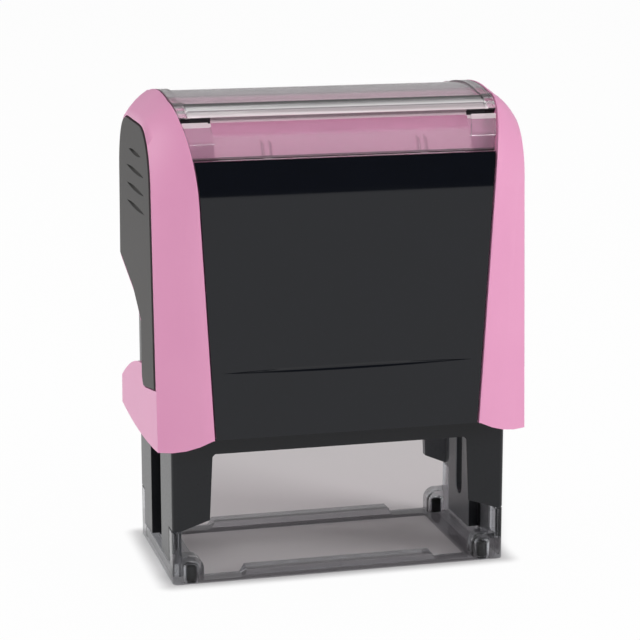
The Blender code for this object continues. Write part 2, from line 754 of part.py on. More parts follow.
def make_cap_shell():
    """Pink cap: an arched form with chamfered bands, hollow, let in for its panels, grips and cover."""
    reach = side_depth(skirt_corner)
    side_half = [(reach, skirt_corner)] + side_arch(0.0)
    edge_half = [(cap_half_depth, panel_bottom)]
    edge_half += arch(cap_half_depth, arch_start, ARCH_RUN, ARCH_RISE, crown=TOP_CROWN)
    fall = (panel_bottom - skirt_corner) / (2 * cap_half_depth)
    side = ring_of(side_half, lambda height: cap_half_width,
                   lambda y: cap_bottom + SKIRT_CURVE * (y / reach) ** 2)
    edge = ring_of(edge_half, edge_half_width, lambda y: panel_bottom - fall * (y + cap_half_depth))
    back_index = 2 * len(edge_half) - 2
    edge[back_index] = (edge_half_width(panel_bottom), cap_half_depth, skirt_corner)
    band = [side] + [crowned(side, edge, share) for share in BAND_SHARES] + [edge]
    shell = loft("cap_shell", [flipped(ring) for ring in band] + band[::-1])

    corner_depth = frame_half_depth + CORNER_ROOM
    hollow_start = cap_bottom - OVERCUT
    hollow_rise = ceiling - arch_start
    hollow_side = [(corner_depth, hollow_start)]
    hollow_side += arch(corner_depth, arch_start, SIDE_ARCH_RUN, hollow_rise, SIDE_ARCH_POWER)
    hollow_edge = [(cavity_half_depth, hollow_start)]
    hollow_edge += arch(cavity_half_depth, arch_start, ARCH_RUN, hollow_rise)
    side = ring_of(hollow_side, lambda height: cavity_half_width, lambda y: hollow_start)
    edge_x = cap_half_width - CAVITY_EDGE
    edge = ring_of(hollow_edge, lambda height: edge_x, lambda y: hollow_start)
    cut(shell, loft("hollow", [flipped(side), flipped(edge), edge, side]))

    panel_end = panel_top + FIT / 2
    heights = edge_heights(cap_bottom - OVERCUT, panel_end, PANEL_STEPS)
    front = [edge_station(height, -1) for height in heights]
    cut(shell, curved_sheet("front_recess", plain_rows(front, EDGE_LIP, -OVERCUT, panel_floor)))
    rear_start = rear_panel_bottom() - FIT
    heights = edge_heights(rear_start, panel_end, PANEL_STEPS)
    rear = [edge_station(height, 1) for height in heights]
    cut(shell, curved_sheet("rear_recess", plain_rows(rear, EDGE_LIP, -OVERCUT, panel_floor)))
    over = over_the_top(edge_heights(panel_top - FIT / 2, CAP_TOP, ARCH_STEPS))
    cut(shell, curved_sheet("cover_recess", plain_rows(over, EDGE_LIP, -OVERCUT, window_floor)))

    for side in (-1, 1):
        recess = grip_form("grip_recess", side, GRIP_INSET - FIT, GRIP_RIM - FIT, GRIP_DEPTH, -OVERCUT)
        cut(shell, recess)
    wide = cap_half_width + OVERCUT
    cut(shell, prism("access", access_outline(0.0), "X", -wide, wide))
    hole_x = BUTTON_WIDTH / 2 + FIT
    hole_z = BUTTON_HEIGHT / 2 + FIT
    hole_low = (-hole_x, frame_half_depth, button_height - hole_z)
    cut(shell, block("button_hole", hole_low, (hole_x, cap_half_depth + OVERCUT, button_height + hole_z)))
    return finish(shell, (0.78, 0.33, 0.52), 0.4)


def rear_panel_bottom():
    """Lower edge of the rear panel, above the opening at the back."""
    beyond = cap_half_depth + OVERCUT
    top = access_outline(0.0)[3][1]
    return top - ACCESS_SLOPE * (beyond - cap_half_depth) + REAR_PANEL_RISE


def make_rear_panel():
    heights = edge_heights(rear_panel_bottom(), panel_top - FIT / 2, PANEL_STEPS)
    stations = [edge_station(height, 1) for height in heights]
    rows = plain_rows(stations, EDGE_LIP + FIT, PANEL_RECESS, PANEL_RECESS + PANEL_THICKNESS)
    return finish(curved_sheet("rear_panel", rows), (0.024, 0.026, 0.029), 0.15)


def lens_outline(half_length, half_height):
    """Lens between two shallow arcs that meet in points, as (across, height) pairs."""
    upper = []
    for step in range(ROUND_STEPS + 1):
        share = 2 * step / ROUND_STEPS - 1
        upper.append((half_length * share, half_height * (1 - share ** 2)))
    return upper + [(y, -z) for y, z in reversed(upper[1:-1])]


def groove_cutter(half_length, half_height, depth, place):
    """Cutter for a groove with pointed ends and a round floor; place takes (along, up, depth)."""
    loops = []
    for step in range(-1, GROOVE_STEPS + 1):
        share = min(step / GROOVE_STEPS, GROOVE_END_SHARE)
        lens = lens_outline(half_length * (1 - GROOVE_RUN_OUT * share), half_height * (1 - share) ** 0.5)
        loops.append([place(along, up, depth * share) for along, up in lens])
    return loft("groove", loops)


def make_front_panel():
    """Front plate that follows the arch, with a shallow pointed crease across it."""
    heights = edge_heights(panel_bottom, panel_top - FIT / 2, PANEL_STEPS)
    stations = [edge_station(height, -1) for height in heights]
    rows = plain_rows(stations, EDGE_LIP + FIT, PANEL_RECESS, PANEL_RECESS + PANEL_THICKNESS)
    panel = curved_sheet("front_panel", rows)
    face = PANEL_RECESS - cap_half_depth
    crease = cap_bottom + CREASE_HEIGHT
    cut(panel, groove_cutter(CREASE_HALF_LENGTH, CREASE_HALF_HEIGHT, CREASE_DEPTH,
                             lambda along, up, depth: (along, face + depth, crease + up)))
    return finish(panel, (0.024, 0.026, 0.029), 0.15)


def make_grip(name, side):
    """Soft-touch side plate with a stack of pointed grooves for the fingers."""
    grip = grip_form(name, side, GRIP_INSET, GRIP_RIM, GRIP_DEPTH - FIT, -GRIP_PROUD)
    face = cap_half_width + GRIP_PROUD
    for index in range(GROOVES):
        height = side_top - TOP_GROOVE_DROP - index * GROOVE_PITCH
        half_length = GROOVE_HALF_LENGTH if index else TOP_GROOVE_HALF_LENGTH
        cut(grip, groove_cutter(half_length, GROOVE_HALF_HEIGHT, GROOVE_CUT,
                                lambda along, up, depth: (
                                    side * (face - depth), GROOVE_MIDDLE + along, height + up)))
    return finish(grip, (0.115, 0.113, 0.112), 0.65)


def make_yoke():
    """Bracket under the crown: a plate with a spring boss, and two arms with bores for the axle."""
    arm_end = axle_height - AXLE_RADIUS - FIT - ARM_THICKNESS
    half = [
        (arm_inner_x, yoke_underside), (arm_inner_x, arm_end),
        (arm_outer_x, arm_end), (arm_outer_x, yoke_top),
    ]
    yoke = prism("yoke", mirrored(half), "Y", -arm_half_depth, arm_half_depth)
    seat_radius = SPRING_RADIUS + WIRE_RADIUS + SPRING_SEAT_MARGIN
    seat_low = yoke_underside + FIT / 2
    seat_high = yoke_top - FIT / 2
    add(yoke, turned("spring_seat", [(seat_low, seat_radius), (seat_high, seat_radius)], "Z", (0, 0, 0)))
    boss = [(yoke_underside - SPRING_BOSS_HEIGHT, boss_radius - FIT), (yoke_top - FIT, boss_radius - FIT)]
    add(yoke, turned("yoke_boss", boss, "Z", (0, 0, 0)))
    bore = AXLE_RADIUS + FIT
    for side in (-1, 1):
        ends = sorted((side * (arm_inner_x - OVERCUT), side * (arm_outer_x + OVERCUT)))
        cut(yoke, turned("axle_bore", [(end, bore) for end in ends], "X", (0, 0, axle_height)))
    return finish(yoke, (0.035, 0.036, 0.038), 0.45)


def make_imprint_card():
    """Blank card with clipped corners, bent to the crown under the clear cover."""
    half_x = edge_half_width(CAP_TOP) - CARD_MARGIN_X
    half_y = top_half_depth - CARD_MARGIN_Y
    low = window_floor - FIT
    top = low - CARD_THICKNESS
    straight = half_y - CARD_CORNER
    places = [straight * (2 * step / ROUND_STEPS - 1) for step in range(ROUND_STEPS + 1)]
    rows = [(crown_station(y), [(-half_x, top, low), (half_x, top, low)]) for y in places]
    clipped = half_x - CARD_CORNER
    for y, row in ((-half_y, 0), (half_y, len(rows) + 1)):
        rows.insert(row, (crown_station(y), [(-clipped, top, low), (clipped, top, low)]))
    return finish(curved_sheet("imprint_card", rows), (0.85, 0.84, 0.82), 0.8)


def cover_depths(height):
    """Depth of the cover's outer face below the arch: on its skirt, its end hooks and its skirt ribs."""
    apron = CAP_TOP - APRON_DROP
    ledge = CAP_TOP - APRON_LEDGE_DROP
    edge = CAP_TOP - APRON_EDGE_DROP
    if height > apron:
        depth = WINDOW_STEP
        if height <= ledge:
            depth += APRON_GROOVE * (height - apron) / (ledge - apron)
        elif height <= edge:
            depth += APRON_EDGE_DEPTH
        return depth, depth, depth
    on_flange = height < CAP_TOP - FLANGE_DROP
    skirt = WINDOW_STEP + (FLANGE_DEPTH if on_flange else SKIRT_DEPTH)
    if height > apron - HOOK_SLOT:
        return skirt, WINDOW_STEP + HOOK_SLOT_DEPTH, skirt
    if height > CAP_TOP - HOOK_DROP:
        return skirt, WINDOW_STEP, skirt
    return skirt, WINDOW_STEP + HOOK_FOOT_DEPTH, WINDOW_STEP + SKIRT_RIB_DEPTH


def make_top_window():
    """Clear cover: raised end ribs, an apron with two ledges, a skirt with a flange, and end hooks."""
    low = panel_top + FIT / 2
    steps = [HOOK_DROP, FLANGE_DROP, APRON_DROP + HOOK_SLOT, APRON_DROP, APRON_LEDGE_DROP, APRON_EDGE_DROP]
    heights = [low]
    for drop in steps:
        heights += [CAP_TOP - drop - STEP_BLEND / 2, CAP_TOP - drop + STEP_BLEND / 2]
    heights += edge_heights(CAP_TOP - APRON_EDGE_DROP + STEP_BLEND, CAP_TOP, ROUND_STEPS // 2)
    rib_low = SKIRT_RIB_X - SKIRT_RIB_WIDTH / 2
    rib_high = SKIRT_RIB_X + SKIRT_RIB_WIDTH / 2
    rows = []
    for station in over_the_top(heights):
        height = station[1]
        half = station[4] - EDGE_LIP - FIT
        skirt, hook, rib = cover_depths(height)
        on_apron = height > CAP_TOP - APRON_DROP
        end = 0.0 if on_apron else hook
        under = WINDOW_STEP + WINDOW_THICKNESS if on_apron else window_floor - FIT
        columns = [
            (half, end, under), (half - WINDOW_RIB, end, under),
            (half - WINDOW_RIB - STEP_BLEND, hook, under), (half - HOOK_WIDTH, hook, under),
            (half - HOOK_WIDTH - STEP_BLEND, skirt, under), (rib_high + STEP_BLEND, skirt, under),
            (rib_high, rib, under), (rib_low, rib, under), (rib_low - STEP_BLEND, skirt, under),
        ]
        mirror = [(-x, top, depth) for x, top, depth in columns]
        rows.append((station, mirror + columns[::-1]))
    return finish(curved_sheet("top_window", rows), (0.42, 0.40, 0.41), 0.08, alpha=0.4)


def make_die_carrier():
    """Rotor: a plate with stiffening lips on a round spine, and stub axles with hubs at both ends."""
    plate_top = DIE_REACH - DIE_THICKNESS - CUSHION_THICKNESS - 2 * FIT
    plate_low = plate_top - CARRIER_PLATE
    lip_low = plate_low - CARRIER_LIP
    lip_in = carrier_half_depth - CARRIER_PLATE
    half = [(carrier_half_depth, plate_top), (carrier_half_depth, lip_low), (lip_in, lip_low),
            (lip_in, plate_low), (SPINE_RADIUS, plate_low)]
    turns = [pi * step / ARCH_STEPS for step in range(ARCH_STEPS + 1)]
    spine = [(SPINE_RADIUS * cos(turn), -SPINE_RADIUS * sin(turn)) for turn in turns]
    outline = half + spine + [(-y, z) for y, z in reversed(half)]
    carrier = prism("die_carrier", outline, "X", -carrier_half_width, carrier_half_width)
    axle_end = arm_outer_x - FIT
    shaft = [(-axle_end, AXLE_RADIUS), (-hub_end, AXLE_RADIUS), (-hub_end, HUB_RADIUS),
             (hub_end, HUB_RADIUS), (hub_end, AXLE_RADIUS), (axle_end, AXLE_RADIUS)]
    add(carrier, turned("stub_axles", shaft, "X", (0, 0, 0)))
    return finish(carrier, (0.04, 0.04, 0.043), 0.45)


def make_die_cushion():
    top = DIE_REACH - DIE_THICKNESS - FIT
    half_x = IMPRINT_WIDTH / 2 + CUSHION_MARGIN
    half_y = IMPRINT_DEPTH / 2 + CUSHION_MARGIN
    outline = rounded_box(half_x, half_y, FRAME_CORNER)
    cushion = prism("die_cushion", outline, "Z", top - CUSHION_THICKNESS, top)
    return finish(cushion, (0.20, 0.20, 0.21), 0.9)


def make_die_rubber():
    """Rubber die with plain raised bars in place of words."""
    outline = rounded_box(IMPRINT_WIDTH / 2, IMPRINT_DEPTH / 2, FRAME_CORNER)
    ground = DIE_REACH - DIE_RELIEF
    die = prism("die_rubber", outline, "Z", DIE_REACH - DIE_THICKNESS, ground)
    half_x = IMPRINT_WIDTH / 2 - DIE_BORDER
    span = IMPRINT_DEPTH - 2 * DIE_BORDER - DIE_BAR_WIDTH
    for index in range(DIE_BARS):
        y = span * (index / (DIE_BARS - 1) - 0.5)
        low = (-half_x, y - DIE_BAR_WIDTH / 2, ground - DIE_RELIEF / 2)
        add(die, block("bar", low, (half_x, y + DIE_BAR_WIDTH / 2, DIE_REACH)))
    return finish(die, (0.33, 0.10, 0.08), 0.7)


def make_pad_tray():
    """Ink cartridge: a tray that opens downwards, with a pull at the back."""
    low = (-tray_half_width, tray_front, pad_height)
    tray = block("pad_tray", low, (tray_half_width, tray_back, tray_top))
    pocket_x = IMPRINT_WIDTH / 2 + PAD_MARGIN_X + FIT
    pocket_y = IMPRINT_DEPTH / 2 + PAD_MARGIN_Y + FIT
    pocket_low = (-pocket_x, -pocket_y, pad_height - OVERCUT)
    cut(tray, block("pocket", pocket_low, (pocket_x, pocket_y, tray_top - TRAY_ROOF)))
    handle_low = pad_height + HANDLE_INSET
    handle_top = tray_top - HANDLE_INSET
    tip = frame_half_depth + HANDLE_REACH
    root = tray_back - FRAME_WALL / 2
    outline = [(root, handle_low), (tip - HANDLE_INSET, handle_low), (tip, handle_low + HANDLE_INSET),
               (tip, handle_top - HANDLE_INSET), (tip - HANDLE_INSET, handle_top), (root, handle_top)]
    add(tray, prism("pull", outline, "X", -HANDLE_WIDTH / 2, HANDLE_WIDTH / 2))
    return finish(tray, (0.05, 0.05, 0.055), 0.5)


def make_ink_pad():
    half_x = IMPRINT_WIDTH / 2 + PAD_MARGIN_X
    half_y = IMPRINT_DEPTH / 2 + PAD_MARGIN_Y
    outline = rounded_box(half_x, half_y, FRAME_CORNER)
    pad = prism("ink_pad", outline, "Z", pad_height, tray_top - TRAY_ROOF - FIT)
    return finish(pad, (0.02, 0.02, 0.06), 0.95)


def make_lock_button():
    """Push button through the bar at the back, kept by a flange inside."""
    flange_out = cavity_half_depth - FIT
    half_x = BUTTON_WIDTH / 2
    half_z = BUTTON_HEIGHT / 2
    stem_low = (-half_x, flange_out - BUTTON_FLANGE / 2, button_height - half_z)
    stem_high = (half_x, cap_half_depth - BUTTON_RECESS, button_height + half_z)
    button = block("lock_button", stem_low, stem_high)
    wide = half_x + BUTTON_FLANGE_MARGIN
    tall = half_z + BUTTON_FLANGE_MARGIN
    flange_low = (-wide, flange_out - BUTTON_FLANGE, button_height - tall)
    add(button, block("flange", flange_low, (wide, flange_out, button_height + tall)))
    return finish(button, (0.035, 0.036, 0.038), 0.4)


for old in list(bpy.data.objects):
    bpy.data.objects.remove(old)

pivots = {}
foot_corners = [(-1, -1), (1, -1), (-1, 1), (1, 1)]
stand = make_pivot("stand", (0, 0, 0))
cap_press = make_pivot("cap_press", (0, 0, cap_bottom), stand)
die_turn = make_pivot("die_turn", (0, 0, axle_height), cap_press)
cartridge_slide = make_pivot("cartridge_slide", (0, tray_back, pad_height), stand)
lock_push = make_pivot("lock_push", (0, cap_half_depth, button_height), cap_press)
cover_lift = make_pivot("cover_lift", (0, 0, CAP_TOP), cap_press)

hang(make_frame(), stand)
hang(make_base_foot(), stand)
for corner_x, corner_y in foot_corners:
    foot_name = "foot_%s_%s" % ("front" if corner_y < 0 else "rear", "left" if corner_x < 0 else "right")
    hang(make_rubber_foot(foot_name, corner_x, corner_y), stand)
hang(make_return_spring(), stand)
hang(make_cap_shell(), cap_press)
hang(make_front_panel(), cap_press)
hang(make_rear_panel(), cap_press)
hang(make_grip("left_grip", -1), cap_press)
hang(make_grip("right_grip", 1), cap_press)
hang(make_yoke(), cap_press)
hang(make_imprint_card(), cap_press)
hang(make_top_window(), cover_lift)
for rotor_piece in (make_die_carrier(), make_die_cushion(), make_die_rubber()):
    rotor_piece.parent = die_turn
hang(make_pad_tray(), cartridge_slide)
hang(make_ink_pad(), cartridge_slide)
hang(make_lock_button(), lock_push)
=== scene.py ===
from math import cos, pi, radians, sin

import bmesh
import bpy
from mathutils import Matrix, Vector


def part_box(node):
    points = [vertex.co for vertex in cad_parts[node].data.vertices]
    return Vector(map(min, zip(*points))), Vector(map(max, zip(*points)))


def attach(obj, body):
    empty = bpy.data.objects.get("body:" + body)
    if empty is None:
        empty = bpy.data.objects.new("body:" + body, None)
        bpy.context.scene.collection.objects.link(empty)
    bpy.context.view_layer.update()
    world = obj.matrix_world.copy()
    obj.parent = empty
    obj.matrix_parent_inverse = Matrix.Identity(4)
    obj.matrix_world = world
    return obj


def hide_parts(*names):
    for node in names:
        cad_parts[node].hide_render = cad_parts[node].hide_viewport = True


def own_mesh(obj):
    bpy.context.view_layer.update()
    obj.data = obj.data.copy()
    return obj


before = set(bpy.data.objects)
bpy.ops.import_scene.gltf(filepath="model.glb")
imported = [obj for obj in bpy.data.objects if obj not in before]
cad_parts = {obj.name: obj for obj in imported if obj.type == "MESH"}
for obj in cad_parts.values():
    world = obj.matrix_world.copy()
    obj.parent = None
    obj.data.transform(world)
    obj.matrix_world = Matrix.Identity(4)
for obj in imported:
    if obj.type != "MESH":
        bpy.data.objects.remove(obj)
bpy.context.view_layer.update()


# Clear foot: the ring that stands on the paper round the print, with a boss in each corner.
# It is moulded in smoky polystyrene, polished in its mould, and clips on under the frame's legs.
MM = 0.001
FOOT_EDGE = 0.15 * MM
COLUMN_INNER = 28.5 * MM
COLUMN_OUTER = 30.5 * MM
FINGER_SMEAR = 6.25 * MM
BRIGHTEST = 0.02


def linear(hex_colour):
    """sRGB hex to the linear colour that a shader socket takes."""
    shares = [int(hex_colour[start:start + 2], 16) / 255 for start in (1, 3, 5)]
    return tuple(s / 12.92 if s <= 0.04045 else ((s + 0.055) / 1.055) ** 2.4 for s in shares) + (1.0,)


def put(tree, kind, inputs=None, **settings):
    """Add a shader node with its settings, and set or link its inputs by name or number."""
    added = tree.nodes.new(kind)
    for setting, value in settings.items():
        setattr(added, setting, value)
    for socket, value in (inputs or {}).items():
        if isinstance(value, bpy.types.NodeSocket):
            tree.links.new(value, added.inputs[socket])
        else:
            added.inputs[socket].default_value = value
    return added


def start_material(name):
    """New node material: its tree, its Principled shader and its Object coordinates."""
    material = bpy.data.materials.new(name)
    material.use_nodes = True
    tree = material.node_tree
    place = put(tree, "ShaderNodeTexCoord").outputs["Object"]
    return material, tree, tree.nodes["Principled BSDF"], place


def moulded_copy(node, name, crease=30, edge=0.0):
    """Copy a CAD node, weld its loose triangles, round its edges and shade it between its creases."""
    weld = 0.001 * MM
    flat = radians(0.5)
    sharp = radians(40)
    bpy.ops.object.select_all(action="DESELECT")
    piece = bpy.data.objects.new(name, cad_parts[node].data.copy())
    bpy.context.scene.collection.objects.link(piece)
    piece.select_set(True)
    bpy.context.view_layer.objects.active = piece
    bpy.ops.object.mode_set(mode="EDIT")
    bpy.ops.mesh.select_all(action="SELECT")
    bpy.ops.mesh.remove_doubles(threshold=weld)
    bpy.ops.mesh.dissolve_limited(angle_limit=flat)
    bpy.ops.object.mode_set(mode="OBJECT")
    if edge:
        rounding = piece.modifiers.new("rounding", "BEVEL")
        rounding.width = edge
        rounding.segments = 2
        rounding.limit_method = "ANGLE"
        rounding.angle_limit = sharp
        bpy.ops.object.modifier_apply(modifier="rounding")
    bpy.ops.object.shade_smooth_by_angle(angle=radians(crease))
    even = piece.modifiers.new("even", "WEIGHTED_NORMAL")
    even.keep_sharp = True
    bpy.ops.object.modifier_apply(modifier="even")
    return piece


def seat(piece, node, body, material):
    """Give a piece its material and let it stand for its CAD node."""
    piece.data.materials.clear()
    piece.data.materials.append(material)
    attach(piece, body)
    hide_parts(node)


def smoky_clear(name, shadow_tint, index, dullest):
    """Clear polished plastic that lets the lamps through: material, tree, shader, place, smears."""
    material, tree, shader, place = start_material(name)
    shader.inputs["IOR"].default_value = index
    shader.inputs["Transmission Weight"].default_value = 1.0
    smear = put(tree, "ShaderNodeTexNoise", {"Vector": place, "Scale": 1 / FINGER_SMEAR, "Detail": 3.0})
    polish = put(tree, "ShaderNodeMapRange", {"Value": smear.outputs["Fac"], 3: BRIGHTEST, 4: dullest})
    tree.links.new(polish.outputs["Result"], shader.inputs["Roughness"])
    light = put(tree, "ShaderNodeLightPath")
    through = put(tree, "ShaderNodeBsdfTransparent", {"Color": linear(shadow_tint)})
    mixed = put(tree, "ShaderNodeMixShader", {
        0: light.outputs["Is Shadow Ray"], 1: shader.outputs["BSDF"], 2: through.outputs["BSDF"]})
    tree.links.new(mixed.outputs["Shader"], tree.nodes["Material Output"].inputs["Surface"])
    return material, tree, shader, place, smear.outputs["Fac"]


# Polished polystyrene: see-through with a grey cast that is deeper in the thick end columns,
# dark and bright lines along its edges, and smears about 6 mm wide where fingers have dulled it.
# Its index is set below the real 1.59, because at 1.59 the thin walls came out too dark.
smoky_foot, tree, shader, place, smear = smoky_clear(
    "smoky polystyrene, polished foot", "#d0d0d2", 1.3, 0.09)
rails = put(tree, "ShaderNodeMix", {0: smear, 6: linear("#bfc0c3"), 7: linear("#c5c6c9")}, data_type="RGBA")
folded = put(tree, "ShaderNodeVectorMath", {0: place}, operation="ABSOLUTE")
sides = put(tree, "ShaderNodeSeparateXYZ", {"Vector": folded.outputs["Vector"]})
columns = put(tree, "ShaderNodeMapRange", {
    "Value": sides.outputs["X"], 1: COLUMN_INNER, 2: COLUMN_OUTER}, interpolation_type="SMOOTHSTEP")
tone = put(tree, "ShaderNodeMix", {
    0: columns.outputs["Result"], 6: rails.outputs[2], 7: linear("#9c9da1")}, data_type="RGBA")
tree.links.new(tone.outputs[2], shader.inputs["Base Color"])
seat(moulded_copy("base_foot", "clear_foot", 30, FOOT_EDGE), "base_foot", "stand", smoky_foot)


# Rubber feet: four small domed plugs that keep the stamp from sliding while it prints.
# They are moulded in black nitrile rubber and pressed into the corner bosses of the foot.
RUBBER_GRAIN = 0.4 * MM

# Moulded nitrile: dull and nearly black, with a dry grain.
# The real grain is under 0.1 mm and is drawn at 0.4 mm so that it shows.
rubber, tree, shader, place = start_material("nitrile rubber, moulded")
grain = put(tree, "ShaderNodeTexNoise", {"Vector": place, "Scale": 1 / RUBBER_GRAIN, "Detail": 4.0})
tone = put(tree, "ShaderNodeMix", {
    0: grain.outputs["Fac"], 6: linear("#0d0d0e"), 7: linear("#1d1c1d")}, data_type="RGBA")
tree.links.new(tone.outputs[2], shader.inputs["Base Color"])
shader.inputs["Roughness"].default_value = 0.7
for corner in ("front_left", "front_right", "rear_left", "rear_right"):
    plug = moulded_copy("foot_" + corner, "rubber_foot_" + corner, 40)
    seat(plug, "foot_" + corner, "stand", rubber)


# Frame: the chassis, a deck on two hollow legs with a groove down each side for the yoke's arms.
# It is injection moulded in black ABS, and its legs clip into the corner columns of the foot.
FRAME_EDGE = 0.15 * MM
SPARK_TEXTURE = 0.55 * MM
INNER_WIDTH = 31.0 * MM
GROOVE_FLOOR = 28.6 * MM
GROOVE_HALF = 7.8 * MM
INNER_DEPTH = 16.3 * MM
INNER_TOP = 28.0 * MM

# Spark-eroded ABS: a dark satin whose fine texture spreads each highlight a little, and a painted
# lighter grey on the faces between the legs, which stands for light reaching them there. The real texture is
# about 0.05 mm wide and is drawn at 0.55 mm so that it shows.
black_abs, tree, shader, place = start_material("black ABS, spark-eroded")
grain = put(tree, "ShaderNodeTexNoise", {"Vector": place, "Scale": 1 / SPARK_TEXTURE, "Detail": 5.0})
outer = put(tree, "ShaderNodeMix", {
    0: grain.outputs["Fac"], 6: linear("#121317"), 7: linear("#191b1f")}, data_type="RGBA")
painted_light_grey = put(tree, "ShaderNodeMix", {
    0: grain.outputs["Fac"], 6: linear("#646569"), 7: linear("#747579")}, data_type="RGBA")
# Painted light: the faces between the legs, inside the grooves' reach and under the deck, take the lighter
# grey.
folded = put(tree, "ShaderNodeVectorMath", {0: place}, operation="ABSOLUTE")
sides = put(tree, "ShaderNodeSeparateXYZ", {"Vector": folded.outputs["Vector"]})
beside = put(tree, "ShaderNodeMath", {0: sides.outputs["Y"], 1: GROOVE_HALF}, operation="GREATER_THAN")
width = put(tree, "ShaderNodeMapRange", {"Value": beside.outputs[0], 3: GROOVE_FLOOR, 4: INNER_WIDTH})
between = put(tree, "ShaderNodeMath", {
    0: sides.outputs["X"], 1: width.outputs["Result"]}, operation="LESS_THAN")
inside = put(tree, "ShaderNodeMath", {0: sides.outputs["Y"], 1: INNER_DEPTH}, operation="LESS_THAN")
under = put(tree, "ShaderNodeMath", {0: sides.outputs["Z"], 1: INNER_TOP}, operation="LESS_THAN")
painted_light_mask = put(tree, "ShaderNodeMath", {0: between.outputs[0], 1: inside.outputs[0]}, operation="MULTIPLY")
painted_light_mask = put(tree, "ShaderNodeMath", {0: painted_light_mask.outputs[0], 1: under.outputs[0]}, operation="MULTIPLY")
tone = put(tree, "ShaderNodeMix", {
    0: painted_light_mask.outputs[0], 6: outer.outputs[2], 7: painted_light_grey.outputs[2]}, data_type="RGBA")
tree.links.new(tone.outputs[2], shader.inputs["Base Color"])
shader.inputs["Specular IOR Level"].default_value = 0.31
shine = put(tree, "ShaderNodeMapRange", {"Value": grain.outputs["Fac"], 3: 0.24, 4: 0.36})
tree.links.new(shine.outputs["Result"], shader.inputs["Roughness"])
bump = put(tree, "ShaderNodeBump", {
    "Height": grain.outputs["Fac"], "Strength": 0.15, "Distance": 0.1 * MM})
tree.links.new(bump.outputs["Normal"], shader.inputs["Normal"])
seat(moulded_copy("frame", "chassis", 30, FRAME_EDGE), "frame", "stand", black_abs)


# Return spring: an open coil between the frame's deck and the yoke, which lifts the cap again.
# It is cold-drawn steel wire wound on a mandrel, with a close turn at each end to stand on.
WIRE_RADIUS = 0.45 * MM
TURNS = 6.5
END_PITCH = 1.5 * MM
POINTS_PER_TURN = 36
DRAW_MARK = 1.1 * MM

# Drawn wire: a bright grey metal with uneven glints along each turn.
# Its draw marks are a few hundredths of a millimetre wide and are drawn at 1.1 mm so that they show.
spring_steel, tree, shader, place = start_material("spring steel, cold-drawn")
marks = put(tree, "ShaderNodeTexNoise", {"Vector": place, "Scale": 1 / DRAW_MARK, "Detail": 2.0})
tone = put(tree, "ShaderNodeMix", {
    0: marks.outputs["Fac"], 6: linear("#b2b4b6"), 7: linear("#c0c2c4")}, data_type="RGBA")
tree.links.new(tone.outputs[2], shader.inputs["Base Color"])
shine = put(tree, "ShaderNodeMapRange", {"Value": marks.outputs["Fac"], 3: 0.18, 4: 0.34})
tree.links.new(shine.outputs["Result"], shader.inputs["Roughness"])
shader.inputs["Metallic"].default_value = 1.0
spring_low, spring_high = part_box("return_spring")
coil_radius = (spring_high.x - spring_low.x) / 2 - WIRE_RADIUS
first = spring_low.z + WIRE_RADIUS
open_turns = TURNS - 2
open_pitch = (spring_high.z - WIRE_RADIUS - first - 2 * END_PITCH) / open_turns
path = bpy.data.curves.new("coil_path", "CURVE")
path.dimensions = "3D"
path.bevel_depth = WIRE_RADIUS
path.bevel_resolution = 3
path.use_fill_caps = True
spline = path.splines.new("POLY")
spline.points.add(int(TURNS * POINTS_PER_TURN))
for index, point in enumerate(spline.points):
    turn = index / POINTS_PER_TURN
    close = min(turn, 1.0) + max(turn - 1.0 - open_turns, 0.0)
    wide = min(max(turn - 1.0, 0.0), open_turns)
    angle = 2 * pi * turn
    height = first + close * END_PITCH + wide * open_pitch
    point.co = (coil_radius * cos(angle), coil_radius * sin(angle), height, 1)
bpy.ops.object.select_all(action="DESELECT")
coil = bpy.data.objects.new("coil_spring", path)
bpy.context.scene.collection.objects.link(coil)
coil.select_set(True)
bpy.context.view_layer.objects.active = coil
bpy.ops.object.convert(target="MESH")
bpy.ops.object.shade_smooth_by_angle(angle=radians(60))
seat(coil, "return_spring", "stand", spring_steel)
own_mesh(coil)


# Mechanism: the yoke under the cap, the die carrier in its arms, the ink tray and the lock button.
# They are plain mouldings in black acetal, which slides without oil, and they snap together.
MECHANISM_EDGE = 0.2 * MM
FLOW_MARK = 2.5 * MM

# Moulded acetal: a black a little greyer and duller than the frame, with faint flow marks.
plain_black, tree, shader, place = start_material("black acetal, moulded")
flow = put(tree, "ShaderNodeTexNoise", {"Vector": place, "Scale": 1 / FLOW_MARK, "Detail": 4.0})
tone = put(tree, "ShaderNodeMix", {
    0: flow.outputs["Fac"], 6: linear("#1a1a1b"), 7: linear("#252526")}, data_type="RGBA")
tree.links.new(tone.outputs[2], shader.inputs["Base Color"])
shine = put(tree, "ShaderNodeMapRange", {"Value": flow.outputs["Fac"], 3: 0.38, 4: 0.5})
tree.links.new(shine.outputs["Result"], shader.inputs["Roughness"])
carried = {"yoke": "cap", "die_carrier": "rotor", "pad_tray": "cartridge", "lock_button": "lock"}
for node, body in carried.items():
    seat(moulded_copy(node, "black_" + node, 30, MECHANISM_EDGE), node, body, plain_black)


# Die: the sheet that prints, with plain raised bars.
# It is laser-engraved rubber, glued to a foam layer on the die carrier.
DIE_EDGE = 0.06 * MM
ENGRAVED_GRAIN = 0.65 * MM

# Engraved rubber: a dull brick red with a fine grain.
# The laser's lines are about 0.05 mm apart and are drawn as a grain of 0.65 mm so that they show.
engraved, tree, shader, place = start_material("rubber, laser-engraved")
grain = put(tree, "ShaderNodeTexNoise", {"Vector": place, "Scale": 1 / ENGRAVED_GRAIN, "Detail": 4.0})
tone = put(tree, "ShaderNodeMix", {
    0: grain.outputs["Fac"], 6: linear("#8a4238"), 7: linear("#9c5245")}, data_type="RGBA")
tree.links.new(tone.outputs[2], shader.inputs["Base Color"])
shader.inputs["Roughness"].default_value = 0.65
seat(moulded_copy("die_rubber", "die_face", 30, DIE_EDGE), "die_rubber", "rotor", engraved)


